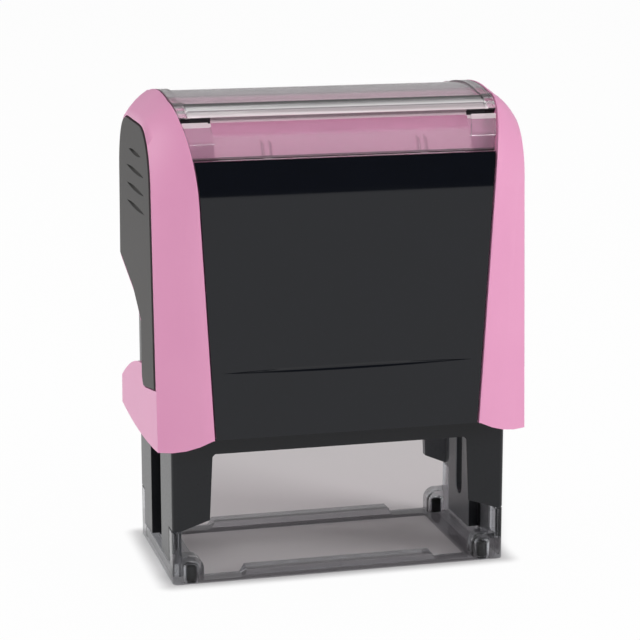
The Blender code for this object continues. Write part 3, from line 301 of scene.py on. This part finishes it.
# Die cushion: the soft layer behind the die, which lets it press evenly on the paper.
# It is cut from closed-cell foam with sticky faces on both sides.
FOAM_CELL = 0.625 * MM
FOAM_EDGE = 0.4 * MM
FOAM_CROWN = 0.05 * MM
FOAM_PULL = 0.1 * MM

# Cut foam: a dull grey speckled by its small open cells.
# The real cells are about 0.3 mm and are drawn at 0.6 mm so that they show.
foam, tree, shader, place = start_material("closed-cell foam, cut")
cells = put(tree, "ShaderNodeTexVoronoi", {"Vector": place, "Scale": 1 / FOAM_CELL})
tone = put(tree, "ShaderNodeMix", {
    0: cells.outputs["Distance"], 6: linear("#5a5a5c"), 7: linear("#7d7d7f")}, data_type="RGBA")
tree.links.new(tone.outputs[2], shader.inputs["Base Color"])
shader.inputs["Roughness"].default_value = 0.9


def soft_block(node, name, edge, crown, pull):
    """Soft block in the space of its CAD node: round edges, sides drawn in, and a face that swells."""
    low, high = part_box(node)
    middle = (low + high) / 2
    half = (high - low) / 2
    edge_start = 0.75
    builder = bmesh.new()
    bmesh.ops.create_cube(builder, size=2.0)
    bmesh.ops.subdivide_edges(builder, edges=builder.edges, cuts=23, use_grid_fill=True)
    for vert in builder.verts:
        core = Vector()
        over = Vector()
        for axis in range(3):
            share = abs(vert.co[axis])
            sign = 1 if vert.co[axis] > 0 else -1
            core[axis] = sign * (half[axis] - edge) * min(share / edge_start, 1.0)
            over[axis] = sign * edge * max(share - edge_start, 0.0) / (1 - edge_start)
        reach = max(abs(part) for part in over)
        place = core + over * (reach / over.length if over.length else 0.0)
        across, along = place.x / half.x, place.y / half.y
        place.x -= across * pull * (1 - along ** 2)
        place.y -= along * pull * (1 - across ** 2)
        swell = max(abs(across), abs(along)) ** 3
        place.z *= 1 - crown / half.z * swell
        vert.co = middle + place
    mesh = bpy.data.meshes.new(name)
    builder.to_mesh(mesh)
    builder.free()
    mesh.shade_smooth()
    block = bpy.data.objects.new(name, mesh)
    bpy.context.scene.collection.objects.link(block)
    return block


die_foam = soft_block("die_cushion", "die_foam", FOAM_EDGE, FOAM_CROWN, FOAM_PULL)
seat(die_foam, "die_cushion", "rotor", foam)


# Ink pad: the block that wets the die while the stamp is at rest, face down in the tray.
# It is dense felt soaked in black ink, cut to size and held by the tray's walls.
FELT_CLUMP = 0.45 * MM
PAD_EDGE = 0.9 * MM
PAD_CROWN = 0.3 * MM
PAD_PULL = 0.25 * MM

# Inked felt: nearly black with a blue cast, and matted fibres that break up the light.
# The fibres are about 0.03 mm thick, and their clumps are drawn at 0.45 mm so that they show.
felt, tree, shader, place = start_material("felt, inked")
fibres = put(tree, "ShaderNodeTexNoise", {
    "Vector": place, "Scale": 1 / FELT_CLUMP, "Detail": 8.0, "Distortion": 1.5})
tone = put(tree, "ShaderNodeMix", {
    0: fibres.outputs["Fac"], 6: linear("#07070c"), 7: linear("#1b1b26")}, data_type="RGBA")
tree.links.new(tone.outputs[2], shader.inputs["Base Color"])
shader.inputs["Roughness"].default_value = 0.95
bump = put(tree, "ShaderNodeBump", {
    "Height": fibres.outputs["Fac"], "Strength": 0.6, "Distance": 0.3 * MM})
tree.links.new(bump.outputs["Normal"], shader.inputs["Normal"])
felt_pad = soft_block("ink_pad", "felt_pad", PAD_EDGE, PAD_CROWN, PAD_PULL)
seat(felt_pad, "ink_pad", "cartridge", felt)


# Cap: the housing that the hand presses, with a chamfered band over its crown.
# It is one moulding in pink ABS, which slides down over the frame.
CAP_EDGE = 0.3 * MM
CAP_SHADE = 16.0 * MM
CAP_GRAIN = 0.55 * MM

# Satin ABS: an even pink with wide soft highlights and tones that drift a little over 16 mm.
# Its texture is about 0.03 mm wide and is drawn at 0.55 mm so that it shows.
pink_abs, tree, shader, place = start_material("pink ABS, satin moulded")
drift = put(tree, "ShaderNodeTexNoise", {"Vector": place, "Scale": 1 / CAP_SHADE, "Detail": 3.0})
tone = put(tree, "ShaderNodeMix", {
    0: drift.outputs["Fac"], 6: linear("#eb9dc6"), 7: linear("#f0a5cb")}, data_type="RGBA")
tree.links.new(tone.outputs[2], shader.inputs["Base Color"])
grain = put(tree, "ShaderNodeTexNoise", {"Vector": place, "Scale": 1 / CAP_GRAIN, "Detail": 4.0})
shine = put(tree, "ShaderNodeMapRange", {"Value": grain.outputs["Fac"], 3: 0.36, 4: 0.46})
tree.links.new(shine.outputs["Result"], shader.inputs["Roughness"])
bump = put(tree, "ShaderNodeBump", {
    "Height": grain.outputs["Fac"], "Strength": 0.08, "Distance": 0.1 * MM})
tree.links.new(bump.outputs["Normal"], shader.inputs["Normal"])
seat(moulded_copy("cap_shell", "pink_cap", 30, CAP_EDGE), "cap_shell", "cap", pink_abs)


# Panels: the bare plates let into the front and the back of the cap.
# They are moulded in black ABS against polished steel, and snap into their recesses.
PANEL_EDGE = 0.1 * MM
SINK_RIPPLE = 8.0 * MM

# Polished ABS: a deep black that mirrors the room, with a slow ripple where the plastic shrank.
gloss_black, tree, shader, place = start_material("black ABS, polished")
ripple = put(tree, "ShaderNodeTexNoise", {"Vector": place, "Scale": 1 / SINK_RIPPLE, "Detail": 2.0})
tone = put(tree, "ShaderNodeMix", {
    0: ripple.outputs["Fac"], 6: linear("#080b12"), 7: linear("#0b0e16")}, data_type="RGBA")
tree.links.new(tone.outputs[2], shader.inputs["Base Color"])
shader.inputs["Specular IOR Level"].default_value = 0.36
shine = put(tree, "ShaderNodeMapRange", {"Value": ripple.outputs["Fac"], 3: 0.06, 4: 0.11})
tree.links.new(shine.outputs["Result"], shader.inputs["Roughness"])
for node in ("front_panel", "rear_panel"):
    seat(moulded_copy(node, "gloss_" + node, 20, PANEL_EDGE), node, "cap", gloss_black)


# Grips: the plates on both sides where the fingers hold, with four lens-shaped grooves each.
# They are moulded in a soft-touch elastomer and seated in recesses in the cap's sides.
GRIP_EDGE = 0.2 * MM
SOFT_GRAIN = 0.5 * MM

# Soft-touch elastomer: a dry dark grey that hardly shines.
# Its grain is about 0.05 mm and is drawn at 0.5 mm so that it shows.
soft_touch, tree, shader, place = start_material("elastomer, soft-touch")
grain = put(tree, "ShaderNodeTexNoise", {"Vector": place, "Scale": 1 / SOFT_GRAIN, "Detail": 5.0})
tone = put(tree, "ShaderNodeMix", {
    0: grain.outputs["Fac"], 6: linear("#373534"), 7: linear("#403e3d")}, data_type="RGBA")
tree.links.new(tone.outputs[2], shader.inputs["Base Color"])
shader.inputs["Roughness"].default_value = 0.6
bump = put(tree, "ShaderNodeBump", {
    "Height": grain.outputs["Fac"], "Strength": 0.2, "Distance": 0.1 * MM})
tree.links.new(bump.outputs["Normal"], shader.inputs["Normal"])
for node in ("left_grip", "right_grip"):
    seat(moulded_copy(node, "soft_" + node, 15, GRIP_EDGE), node, "cap", soft_touch)


# Card: the blank slip under the clear cover, where a sample of the print goes.
# It is cut from uncoated card and bent over the crown, held down by the cover.
PAPER_FIBRE = 0.8 * MM

# Uncoated card: matt, in a pale tone with a painted pink cast standing for light thrown on it by the pink
# round it, with a cloudy fibre pattern.
# The fibres are about 0.03 mm thick, and their clouds are drawn at 0.8 mm so that they show.
paper, tree, shader, place = start_material("card, uncoated")
fibres = put(tree, "ShaderNodeTexNoise", {"Vector": place, "Scale": 1 / PAPER_FIBRE, "Detail": 6.0})
tone = put(tree, "ShaderNodeMix", {
    0: fibres.outputs["Fac"], 6: linear("#dab6c6"), 7: linear("#e4c2d0")}, data_type="RGBA")
tree.links.new(tone.outputs[2], shader.inputs["Base Color"])
shader.inputs["Roughness"].default_value = 0.85
seat(moulded_copy("imprint_card", "blank_card"), "imprint_card", "cap", paper)


# Clear cover: the arched lid over the crown of the cap, which a hook in each corner holds down.
# It is moulded in smoky polystyrene like the foot, and unclips so that the card can be changed.
CLEAR_START = 83.3 * MM
SKIRT_TOP = 83.0 * MM
SKIRT_CLEAR = 0.83
TOP_CLEAR = 0.94
HOOK_TOP = 85.6 * MM
# Hook tones from the rim up: darker towards the bottom, then a painted highlight band below the slot.
HOOK_TONES_AND_HIGHLIGHT = (
    (79.5 * MM, "#c4bdc3", 0.87),
    (82.0 * MM, "#d8d0d6", 0.85),
    (84.75 * MM, "#f6f0f1", 0.42))
STEP_LOW = 85.30 * MM
STEP_HIGH = 88.34 * MM
STEP_DEPTH = 10.4 * MM
STEP_END = 28.05 * MM
# Step tones: pale painted reflections between painted dark lines along the shoulder's moulded steps.
STEP_PAINTED_REFLECTIONS = (
    (85.30 * MM, "#ded8dc", 0.92),
    (85.42 * MM, "#ffeaf2", 0.60),
    (85.80 * MM, "#c4b4bc", 0.70),
    (85.86 * MM, "#84747a", 0.58),
    (86.30 * MM, "#84747a", 0.58),
    (86.38 * MM, "#fff2f6", 0.08),
    (87.18 * MM, "#a29ea0", 0.40),
    (87.26 * MM, "#8a868a", 0.40),
    (87.36 * MM, "#ffffff", 0.22),
    (87.88 * MM, "#7c7a7c", 0.35),
    (87.95 * MM, "#2e2c2e", 0.30),
    (88.34 * MM, "#2e2c2e", 0.30))
SLOT_START = 23.9 * MM
SLOT_DEPTH = 14.98 * MM
SLOT_HEIGHT = 85.73 * MM
SLOT_REACH = 0.6 * MM
RIM_HEIGHT = 79.5 * MM
SIDE_EDGE = 29.9 * MM
EDGE_PAINTED_DARK = 0.85
RIB_MIDDLE = 14.46 * MM
RIB_HALF = 0.74 * MM
RIB_TOP = 82.0 * MM
RIB_LINE = 0.22 * MM
RIB_PAINTED_SHADE = 0.3

# Polished polystyrene: clear over the card and a little milky on its skirt, with painted dark lines along
# its rim and side edges, painted shade lines along both edges of two faint ribs on each skirt, a painted
# black shadow in the clip slot above each hook, and hooks darker towards the bottom with a painted
# highlight along their tops. Along the moulded steps of its shoulder, pale painted reflections lie between
# painted dark lines. Its index is set below the real 1.59, as on the foot. Each tone has a height, a colour
# and how clear it is.
smoky_cover, tree, shader, place, smear = smoky_clear(
    "smoky polystyrene, polished cover", "#e4e0e2", 1.4, 0.035)
folded = put(tree, "ShaderNodeVectorMath", {0: place}, operation="ABSOLUTE")
sides = put(tree, "ShaderNodeSeparateXYZ", {"Vector": folded.outputs["Vector"]})
section = put(tree, "ShaderNodeVectorMath", {
    0: folded.outputs["Vector"], 1: (0.0, 1.0, 1.0)}, operation="MULTIPLY")
# Painted shadow: a black band in the clip slot above each hook.
from_slot = put(tree, "ShaderNodeVectorMath", {
    0: section.outputs["Vector"], 1: (0.0, SLOT_DEPTH, SLOT_HEIGHT)}, operation="DISTANCE")
in_slot = put(tree, "ShaderNodeMath", {0: from_slot.outputs["Value"], 1: SLOT_REACH}, operation="LESS_THAN")
at_end = put(tree, "ShaderNodeMath", {0: sides.outputs["X"], 1: SLOT_START}, operation="GREATER_THAN")
painted_slot_shadow = put(tree, "ShaderNodeMath", {0: in_slot.outputs[0], 1: at_end.outputs[0]}, operation="MULTIPLY")
# Painted dark lines along the cover's rim and side edges, standing for dark refraction there.
at_rim = put(tree, "ShaderNodeMath", {0: sides.outputs["Z"], 1: RIM_HEIGHT}, operation="LESS_THAN")
at_side = put(tree, "ShaderNodeMath", {0: sides.outputs["X"], 1: SIDE_EDGE}, operation="GREATER_THAN")
edges = put(tree, "ShaderNodeMath", {0: at_rim.outputs[0], 1: at_side.outputs[0]}, operation="MAXIMUM")
edges = put(tree, "ShaderNodeMath", {0: edges.outputs[0], 1: EDGE_PAINTED_DARK}, operation="MULTIPLY")
black = put(tree, "ShaderNodeMath", {0: painted_slot_shadow.outputs[0], 1: edges.outputs[0]}, operation="MAXIMUM")
# Painted shade: thin dark lines along both edges of each skirt rib.
off_rib = put(tree, "ShaderNodeMath", {0: sides.outputs["X"], 1: RIB_MIDDLE}, operation="SUBTRACT")
off_rib = put(tree, "ShaderNodeMath", {0: off_rib.outputs[0]}, operation="ABSOLUTE")
rib_painted_shade = put(tree, "ShaderNodeMath", {0: off_rib.outputs[0], 1: RIB_HALF, 2: RIB_LINE}, operation="COMPARE")
at_rib = put(tree, "ShaderNodeMath", {0: sides.outputs["Z"], 1: RIB_TOP}, operation="LESS_THAN")
rib_painted_shade = put(tree, "ShaderNodeMath", {0: rib_painted_shade.outputs[0], 1: at_rib.outputs[0]}, operation="MULTIPLY")
rib_painted_shade = put(tree, "ShaderNodeMath", {0: rib_painted_shade.outputs[0], 1: RIB_PAINTED_SHADE}, operation="MULTIPLY")
black = put(tree, "ShaderNodeMath", {0: black.outputs[0], 1: rib_painted_shade.outputs[0]}, operation="MAXIMUM")
pale = put(tree, "ShaderNodeMix", {0: smear, 6: linear("#dcd6da"), 7: linear("#e0dade")}, data_type="RGBA")
plain = put(tree, "ShaderNodeMix", {
    0: black.outputs[0], 6: pale.outputs[2], 7: linear("#050506")}, data_type="RGBA")
ramps = []
for tones, low, high, blend in (
        (HOOK_TONES_AND_HIGHLIGHT, RIM_HEIGHT, HOOK_TOP, "CONSTANT"),
        (STEP_PAINTED_REFLECTIONS, STEP_LOW, STEP_HIGH, "LINEAR")):
    height = put(tree, "ShaderNodeMapRange", {"Value": sides.outputs["Z"], 1: low, 2: high})
    ramp = put(tree, "ShaderNodeValToRGB", {"Fac": height.outputs["Result"]})
    ramp.color_ramp.interpolation = blend
    stops = ramp.color_ramp.elements
    stops.remove(stops[1])
    for index, (level, colour, share) in enumerate(tones):
        stop = stops.new((level - low) / (high - low)) if index else stops[0]
        stop.color = linear(colour)[:3] + (share,)
    ramps.append(ramp)
hook_painted_highlight, painted_step_reflections = ramps
below = put(tree, "ShaderNodeMath", {0: sides.outputs["Z"], 1: HOOK_TOP}, operation="LESS_THAN")
hook = put(tree, "ShaderNodeMath", {0: below.outputs[0], 1: at_end.outputs[0]}, operation="MULTIPLY")
any_painted_dark = put(tree, "ShaderNodeMath", {0: black.outputs[0], 1: 0.0}, operation="GREATER_THAN")
hook = put(tree, "ShaderNodeMath", {
    0: hook.outputs[0], 1: any_painted_dark.outputs[0]}, operation="SUBTRACT", use_clamp=True)
tone = put(tree, "ShaderNodeMix", {
    0: hook.outputs[0], 6: plain.outputs[2], 7: hook_painted_highlight.outputs["Color"]}, data_type="RGBA")
clear = put(tree, "ShaderNodeMapRange", {
    "Value": sides.outputs["Z"], 1: SKIRT_TOP, 2: CLEAR_START, 3: SKIRT_CLEAR, 4: TOP_CLEAR})
clear = put(tree, "ShaderNodeMix", {
    0: hook.outputs[0], 2: clear.outputs["Result"], 3: hook_painted_highlight.outputs["Alpha"]})
over = put(tree, "ShaderNodeMath", {0: sides.outputs["Z"], 1: STEP_LOW}, operation="GREATER_THAN")
for axis, limit, side in (
        ("Z", STEP_HIGH, "LESS_THAN"), ("X", STEP_END, "LESS_THAN"), ("Y", STEP_DEPTH, "GREATER_THAN")):
    within = put(tree, "ShaderNodeMath", {0: sides.outputs[axis], 1: limit}, operation=side)
    over = put(tree, "ShaderNodeMath", {0: over.outputs[0], 1: within.outputs[0]}, operation="MULTIPLY")
for other in (any_painted_dark, hook):
    over = put(tree, "ShaderNodeMath", {
        0: over.outputs[0], 1: other.outputs[0]}, operation="SUBTRACT", use_clamp=True)
tone = put(tree, "ShaderNodeMix", {
    0: over.outputs[0], 6: tone.outputs[2], 7: painted_step_reflections.outputs["Color"]}, data_type="RGBA")
tree.links.new(tone.outputs[2], shader.inputs["Base Color"])
clear = put(tree, "ShaderNodeMix", {
    0: over.outputs[0], 2: clear.outputs[0], 3: painted_step_reflections.outputs["Alpha"]})
tree.links.new(clear.outputs[0], shader.inputs["Transmission Weight"])
seat(moulded_copy("top_window", "clear_cover", 25), "top_window", "window", smoky_cover)


# Table: the white studio table that the stamp stands on, whose front edge is behind the camera.
# It is seen as white, apart from the real shadow close round the foot and behind the open legs, where the
# table is also painted a darker grey as painted shade.
TABLE_FRONT = -1.05
TABLE_BACK = 5.0
TABLE_HALF = 3.0
FOOT_HALF = (32.0 * MM, 16.5 * MM, 0.0)
CONTACT_REACH = 4.0 * MM
CONTACT_SHARE = 0.15
WHITE_SHARE = 0.97
SHADE_MIDDLE = 3.9 * MM
SHADE_LEAN = 0.2283
SHADE_HALF = 35.4 * MM
SHADE_SPREAD = 0.1003
SHADE_SOFT = 0.82
SHADE_FRONT = (-15.0 * MM, -17.5 * MM)
SHADE_BACK = (70.0 * MM, 140.0 * MM)
bpy.ops.object.select_all(action="DESELECT")
bpy.ops.mesh.primitive_plane_add(size=2.0)
table = bpy.context.object
table.name = "table"
for corner in table.data.vertices:
    corner.co.x *= TABLE_HALF
    corner.co.y = TABLE_FRONT if corner.co.y < 0 else TABLE_BACK

# Matt laminate: white to the eye, to mirrors and through clear plastic, with the stamp's real shadow on it
# and a painted darker patch behind the open legs.
white_table, tree, shader, place = start_material("white laminate, matt")
shader.inputs["Roughness"].default_value = 0.95
shader.inputs["Specular IOR Level"].default_value = 0.1
floor = put(tree, "ShaderNodeSeparateXYZ", {"Vector": place})
middle = put(tree, "ShaderNodeMath", {
    0: floor.outputs["Y"], 1: SHADE_LEAN, 2: SHADE_MIDDLE}, operation="MULTIPLY_ADD")
across = put(tree, "ShaderNodeMath", {0: floor.outputs["X"], 1: middle.outputs[0]}, operation="SUBTRACT")
across = put(tree, "ShaderNodeMath", {0: across.outputs[0]}, operation="ABSOLUTE")
reach = put(tree, "ShaderNodeMath", {
    0: floor.outputs["Y"], 1: SHADE_SPREAD, 2: SHADE_HALF}, operation="MULTIPLY_ADD")
across = put(tree, "ShaderNodeMath", {0: across.outputs[0], 1: reach.outputs[0]}, operation="DIVIDE")
beside = put(tree, "ShaderNodeMapRange", {
    "Value": across.outputs[0], 1: SHADE_SOFT, 2: 1.0}, interpolation_type="SMOOTHSTEP")
before = put(tree, "ShaderNodeMapRange", {
    "Value": floor.outputs["Y"], 1: SHADE_FRONT[0], 2: SHADE_FRONT[1]}, interpolation_type="SMOOTHSTEP")
beyond = put(tree, "ShaderNodeMapRange", {
    "Value": floor.outputs["Y"], 1: SHADE_BACK[0], 2: SHADE_BACK[1]}, interpolation_type="SMOOTHSTEP")
outside = put(tree, "ShaderNodeMath", {
    0: beside.outputs["Result"], 1: beyond.outputs["Result"]}, operation="MAXIMUM")
outside = put(tree, "ShaderNodeMath", {
    0: outside.outputs[0], 1: before.outputs["Result"]}, operation="MAXIMUM")
# Painted shade: the table's colour is a darker grey inside the patch behind the legs.
tone = put(tree, "ShaderNodeMix", {
    0: outside.outputs[0], 6: linear("#e6e1e2"), 7: linear("#f7f7f7")}, data_type="RGBA")
tree.links.new(tone.outputs[2], shader.inputs["Base Color"])
folded = put(tree, "ShaderNodeVectorMath", {0: place}, operation="ABSOLUTE")
away = put(tree, "ShaderNodeVectorMath", {0: folded.outputs["Vector"], 1: FOOT_HALF}, operation="SUBTRACT")
away = put(tree, "ShaderNodeVectorMath", {0: away.outputs["Vector"], 1: (0.0, 0.0, 0.0)}, operation="MAXIMUM")
away = put(tree, "ShaderNodeVectorMath", {0: away.outputs["Vector"]}, operation="LENGTH")
white = put(tree, "ShaderNodeMapRange", {
    "Value": away.outputs["Value"], 1: 0.0, 2: CONTACT_REACH, 3: CONTACT_SHARE, 4: WHITE_SHARE},
    interpolation_type="SMOOTHSTEP")
white = put(tree, "ShaderNodeMath", {0: outside.outputs[0], 1: white.outputs["Result"]}, operation="MULTIPLY")
light = put(tree, "ShaderNodeLightPath")
seen = put(tree, "ShaderNodeMath", {
    0: light.outputs["Is Camera Ray"], 1: light.outputs["Is Glossy Ray"]}, operation="MAXIMUM")
seen = put(tree, "ShaderNodeMath", {
    0: seen.outputs[0], 1: light.outputs["Is Transmission Ray"]}, operation="MAXIMUM")
white = put(tree, "ShaderNodeMath", {0: seen.outputs[0], 1: white.outputs[0]}, operation="MULTIPLY")
glow = put(tree, "ShaderNodeEmission", {"Color": (1.0, 1.0, 1.0, 1.0), "Strength": 1.0})
mixed = put(tree, "ShaderNodeMixShader", {
    0: white.outputs[0], 1: shader.outputs["BSDF"], 2: glow.outputs["Emission"]})
tree.links.new(mixed.outputs["Shader"], tree.nodes["Material Output"].inputs["Surface"])
table.data.materials.append(white_table)


# Room: walls seen as white, but dim in front of the table, which the polished panel mirrors as black.
# Five soft lamps stand round the table: in front, low in front, on the right, on the left and above.
WALL_STRENGTH = 0.28
WALL_GLEAM = 0.45
FRONT_STRENGTH = 0.08
FRONT_FULL = -0.75
FRONT_END = -0.2
world = bpy.data.worlds.new("studio")
bpy.context.scene.world = world
world.use_nodes = True
tree = world.node_tree
direction = put(tree, "ShaderNodeTexCoord").outputs["Generated"]
split = put(tree, "ShaderNodeSeparateXYZ", {"Vector": direction})
light = put(tree, "ShaderNodeLightPath")
walls = put(tree, "ShaderNodeMapRange", {
    "Value": light.outputs["Is Glossy Ray"], 3: WALL_STRENGTH, 4: WALL_GLEAM})
strength = put(tree, "ShaderNodeMapRange", {
    "Value": split.outputs["Y"], 1: FRONT_FULL, 2: FRONT_END, 3: FRONT_STRENGTH, 4: walls.outputs["Result"]},
    interpolation_type="SMOOTHSTEP")
strength = put(tree, "ShaderNodeMapRange", {
    "Value": light.outputs["Is Camera Ray"], 3: strength.outputs["Result"], 4: 1.0})
tree.links.new(strength.outputs["Result"], tree.nodes["Background"].inputs["Strength"])
tree.nodes["Background"].inputs["Color"].default_value = (1.0, 1.0, 1.0, 1.0)


def softbox(name, place, aim, width, height, watts):
    """Rectangular area lamp at place, turned to face aim."""
    bpy.ops.object.light_add(type="AREA", location=place)
    lamp = bpy.context.object
    lamp.name = name
    lamp.data.shape = "RECTANGLE"
    lamp.data.size = width
    lamp.data.size_y = height
    lamp.data.energy = watts
    direction = Vector(aim) - Vector(place)
    lamp.rotation_euler = direction.to_track_quat("-Z", "Y").to_euler()


softbox("key_softbox", (-0.20, -0.72, 0.60), (0, 0, 0.04), 0.35, 0.35, 1.5)
softbox("low_softbox", (-0.35, -1.00, 0.08), (0, 0, 0.03), 0.5, 0.14, 0.8)
softbox("right_softbox", (0.75, -0.55, 0.40), (0, 0, 0.04), 0.5, 0.5, 4.5)
softbox("left_softbox", (-0.85, 0.10, 0.35), (0, 0, 0.04), 0.6, 0.6, 2.9)
softbox("top_softbox", (0.24, 0.30, 0.98), (0, 0, 0.04), 0.55, 0.35, 1.6)


# Camera: a long lens in front of the stamp and to its left, looking down on it a little.
# Its place and lens were fitted to the foot and the cap.
CAMERA_PLACE = (-0.10466, -0.40460, 0.13772)
CAMERA_TURN = (radians(77.48), 0, radians(-14.53))
bpy.ops.object.camera_add(location=CAMERA_PLACE, rotation=CAMERA_TURN)
camera = bpy.context.object
camera.data.lens = 126.28
camera.data.sensor_width = 36.0
camera.data.clip_start = 0.01
bpy.context.scene.camera = camera
bpy.context.scene.view_settings.view_transform = "Standard"
